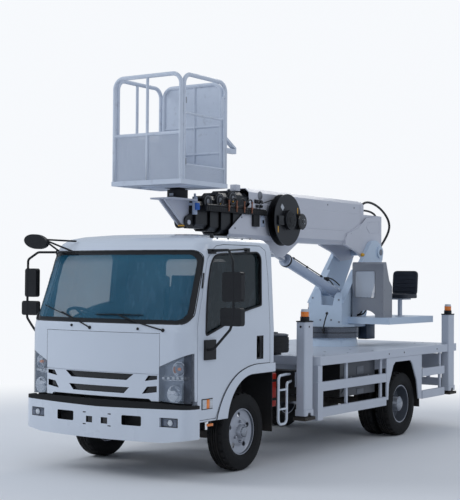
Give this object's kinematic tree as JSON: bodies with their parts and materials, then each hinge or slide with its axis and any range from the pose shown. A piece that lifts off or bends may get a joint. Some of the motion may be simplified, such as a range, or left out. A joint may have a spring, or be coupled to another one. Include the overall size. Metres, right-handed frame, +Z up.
{
  "type": "truck-mounted boom lift",
  "caption": "Cab-over truck with a slewing telescopic boom, levelled work basket, operator station and outrigger legs.",
  "frame": {"origin": "on the ground, under the middle of the truck's length and width", "axes": "+X driving direction, +Y the truck's left, +Z up"},
  "size_m": [5.995, 2.68, 3.87],
  "materials": {
    "cab_white": "gloss paint",
    "deck_white": "gloss paint",
    "boom_white": "gloss paint",
    "section_black": "satin paint",
    "basket_grey": "satin paint",
    "chassis_black": "satin paint",
    "bumper_grey": "gloss",
    "black_plastic": "matt",
    "dark_trim": "matt",
    "tyre": "matt",
    "rim_silver": "satin paint",
    "clear_glass": "clear",
    "lamp": "clear",
    "steel": "turned",
    "stainless": "brushed",
    "seat_cover": "satin",
    "locker_grey": "satin paint",
    "cylinder_white": "gloss paint",
    "chrome_rod": "polished",
    "cast": "rough"
  },
  "bodies": {
    "chassis": {"frame_rails": "chassis_black", "crossmembers": "chassis_black", "front_axle": "cast", "rear_axle": "cast", "driveline": "cast", "fuel_tank": "chassis_black", "air_cleaner": "black_plastic", "cab_shell": "cab_white", "front_panel": "cab_white", "headlamps": "lamp", "bumper": "bumper_grey", "cab_glass": "clear_glass", "dashboard": "dark_trim", "seats": "seat_cover", "front_mirror": "black_plastic", "deck": "deck_white", "pedestal": "steel", "rear_legs": "deck_white", "side_guards": "deck_white", "arch_panels": "deck_white", "lockers": "locker_grey", "ladder": "deck_white", "mudguards": "black_plastic", "rear_bar": "chassis_black"},
    "knuckle_left": {"knuckle_left": "cast"},
    "knuckle_right": {"knuckle_right": "cast"},
    "wheel_front_left": {"tyre_front_left": "tyre", "rim_front_left": "rim_silver"},
    "wheel_front_right": {"tyre_front_right": "tyre", "rim_front_right": "rim_silver"},
    "wheels_rear_left": {"tyre_rear_left": "tyre", "rim_rear_left": "rim_silver"},
    "wheels_rear_right": {"tyre_rear_right": "tyre", "rim_rear_right": "rim_silver"},
    "door_left": {"door_left": "cab_white", "door_glass_left": "clear_glass", "mirrors_left": "black_plastic"},
    "door_right": {"door_right": "cab_white", "door_glass_right": "clear_glass", "mirrors_right": "black_plastic"},
    "front_leg_left": {"front_leg_left": "deck_white"},
    "front_leg_right": {"front_leg_right": "deck_white"},
    "jack_front_left": {"jack_front_left": "deck_white"},
    "jack_front_right": {"jack_front_right": "deck_white"},
    "jack_rear_left": {"jack_rear_left": "deck_white"},
    "jack_rear_right": {"jack_rear_right": "deck_white"},
    "turret": {"turret": "boom_white", "console": "stainless", "operator_seat": "seat_cover"},
    "boom_base": {"boom_base": "boom_white", "hose_reel": "black_plastic"},
    "boom_section_2": {"boom_section_2": "section_black"},
    "boom_section_3": {"boom_section_3": "section_black"},
    "boom_section_4": {"boom_section_4": "section_black"},
    "boom_section_5": {"boom_section_5": "section_black"},
    "lift_barrel": {"lift_barrel": "cylinder_white"},
    "lift_rod": {"lift_rod": "chrome_rod"},
    "basket_mount": {"basket_mount": "boom_white"},
    "basket": {"basket": "basket_grey"}
  },
  "joints": [
    {"name": "steer_left", "type": "hinge", "parent": "chassis", "child": "knuckle_left", "pos_m": [1.8975, 0.715, 0.375], "axis": [0, 0, 1], "range_deg": [-30, 30]},
    {"name": "steer_right", "type": "hinge", "parent": "chassis", "child": "knuckle_right", "pos_m": [1.8975, -0.715, 0.375], "axis": [0, 0, 1], "range_deg": [-30, 30]},
    {"name": "wheel_front_left_spin", "type": "hinge", "parent": "knuckle_left", "child": "wheel_front_left", "pos_m": [1.8975, 0.827, 0.375], "axis": [0, 1, 0], "continuous": true},
    {"name": "wheel_front_right_spin", "type": "hinge", "parent": "knuckle_right", "child": "wheel_front_right", "pos_m": [1.8975, -0.827, 0.375], "axis": [0, 1, 0], "continuous": true},
    {"name": "wheels_rear_left_spin", "type": "hinge", "parent": "chassis", "child": "wheels_rear_left", "pos_m": [-1.4625, 0.78, 0.375], "axis": [0, 1, 0], "continuous": true},
    {"name": "wheels_rear_right_spin", "type": "hinge", "parent": "chassis", "child": "wheels_rear_right", "pos_m": [-1.4625, -0.78, 0.375], "axis": [0, 1, 0], "continuous": true},
    {"name": "door_left_hinge", "type": "hinge", "parent": "chassis", "child": "door_left", "pos_m": [2.7335, 0.965, 1.2], "axis": [0, 0, -1], "range_deg": [0, 65]},
    {"name": "door_right_hinge", "type": "hinge", "parent": "chassis", "child": "door_right", "pos_m": [2.7335, -0.965, 1.2], "axis": [0, 0, 1], "range_deg": [0, 65]},
    {"name": "front_leg_left_slide", "type": "slide", "parent": "chassis", "child": "front_leg_left", "axis": [0, 1, 0], "range_m": [0, 0.55]},
    {"name": "front_leg_right_slide", "type": "slide", "parent": "chassis", "child": "front_leg_right", "axis": [0, -1, 0], "range_m": [0, 0.55]},
    {"name": "jack_front_left_slide", "type": "slide", "parent": "front_leg_left", "child": "jack_front_left", "axis": [0, 0, -1], "range_m": [0, 0.5]},
    {"name": "jack_front_right_slide", "type": "slide", "parent": "front_leg_right", "child": "jack_front_right", "axis": [0, 0, -1], "range_m": [0, 0.5]},
    {"name": "jack_rear_left_slide", "type": "slide", "parent": "chassis", "child": "jack_rear_left", "axis": [0, 0, -1], "range_m": [0, 0.5]},
    {"name": "jack_rear_right_slide", "type": "slide", "parent": "chassis", "child": "jack_rear_right", "axis": [0, 0, -1], "range_m": [0, 0.5]},
    {"name": "slew", "type": "hinge", "parent": "chassis", "child": "turret", "pos_m": [-1.4645, 0, 1.205], "axis": [0, 0, 1], "continuous": true},
    {"name": "boom_lift", "type": "hinge", "parent": "turret", "child": "boom_base", "pos_m": [-2.3445, 0, 2.2], "axis": [0, -1, 0], "range_deg": [0, 80]},
    {"name": "extend_2", "type": "slide", "parent": "boom_base", "child": "boom_section_2", "axis": [1, 0, 0], "range_m": [0, 2.2]},
    {"name": "extend_3", "type": "slide", "parent": "boom_section_2", "child": "boom_section_3", "axis": [1, 0, 0], "range_m": [0, 2.2]},
    {"name": "extend_4", "type": "slide", "parent": "boom_section_3", "child": "boom_section_4", "axis": [1, 0, 0], "range_m": [0, 2.2]},
    {"name": "extend_5", "type": "slide", "parent": "boom_section_4", "child": "boom_section_5", "axis": [1, 0, 0], "range_m": [0, 2.2]},
    {"name": "lift_barrel_hinge", "type": "hinge", "parent": "turret", "child": "lift_barrel", "pos_m": [-1.6645, 0, 1.67], "axis": [0, -1, 0], "range_deg": [0, 77.8]},
    {"name": "lift_rod_slide", "type": "slide", "parent": "lift_barrel", "child": "lift_rod", "axis": [0.9539, 0, 0.3002], "range_m": [0, 1.1059]},
    {"name": "basket_level", "type": "hinge", "parent": "boom_section_5", "child": "basket_mount", "pos_m": [1.6455, 0, 2.425], "axis": [0, 1, 0], "range_deg": [0, 80]},
    {"name": "basket_swing", "type": "hinge", "parent": "basket_mount", "child": "basket", "pos_m": [1.7455, 0, 2.755], "axis": [0, 0, 1], "range_deg": [-90, 90]}
  ],
  "couplings": [
    {"joint": "steer_right", "follows": "steer_left", "ratio": 1},
    {"joint": "extend_3", "follows": "extend_2", "ratio": 1},
    {"joint": "extend_4", "follows": "extend_2", "ratio": 1},
    {"joint": "extend_5", "follows": "extend_2", "ratio": 1},
    {"joint": "lift_barrel_hinge", "follows": "boom_lift", "ratio": 0.97234},
    {"joint": "lift_rod_slide", "follows": "boom_lift", "m_per_rad": 0.79172},
    {"joint": "basket_level", "follows": "boom_lift", "ratio": 1}
  ]
}
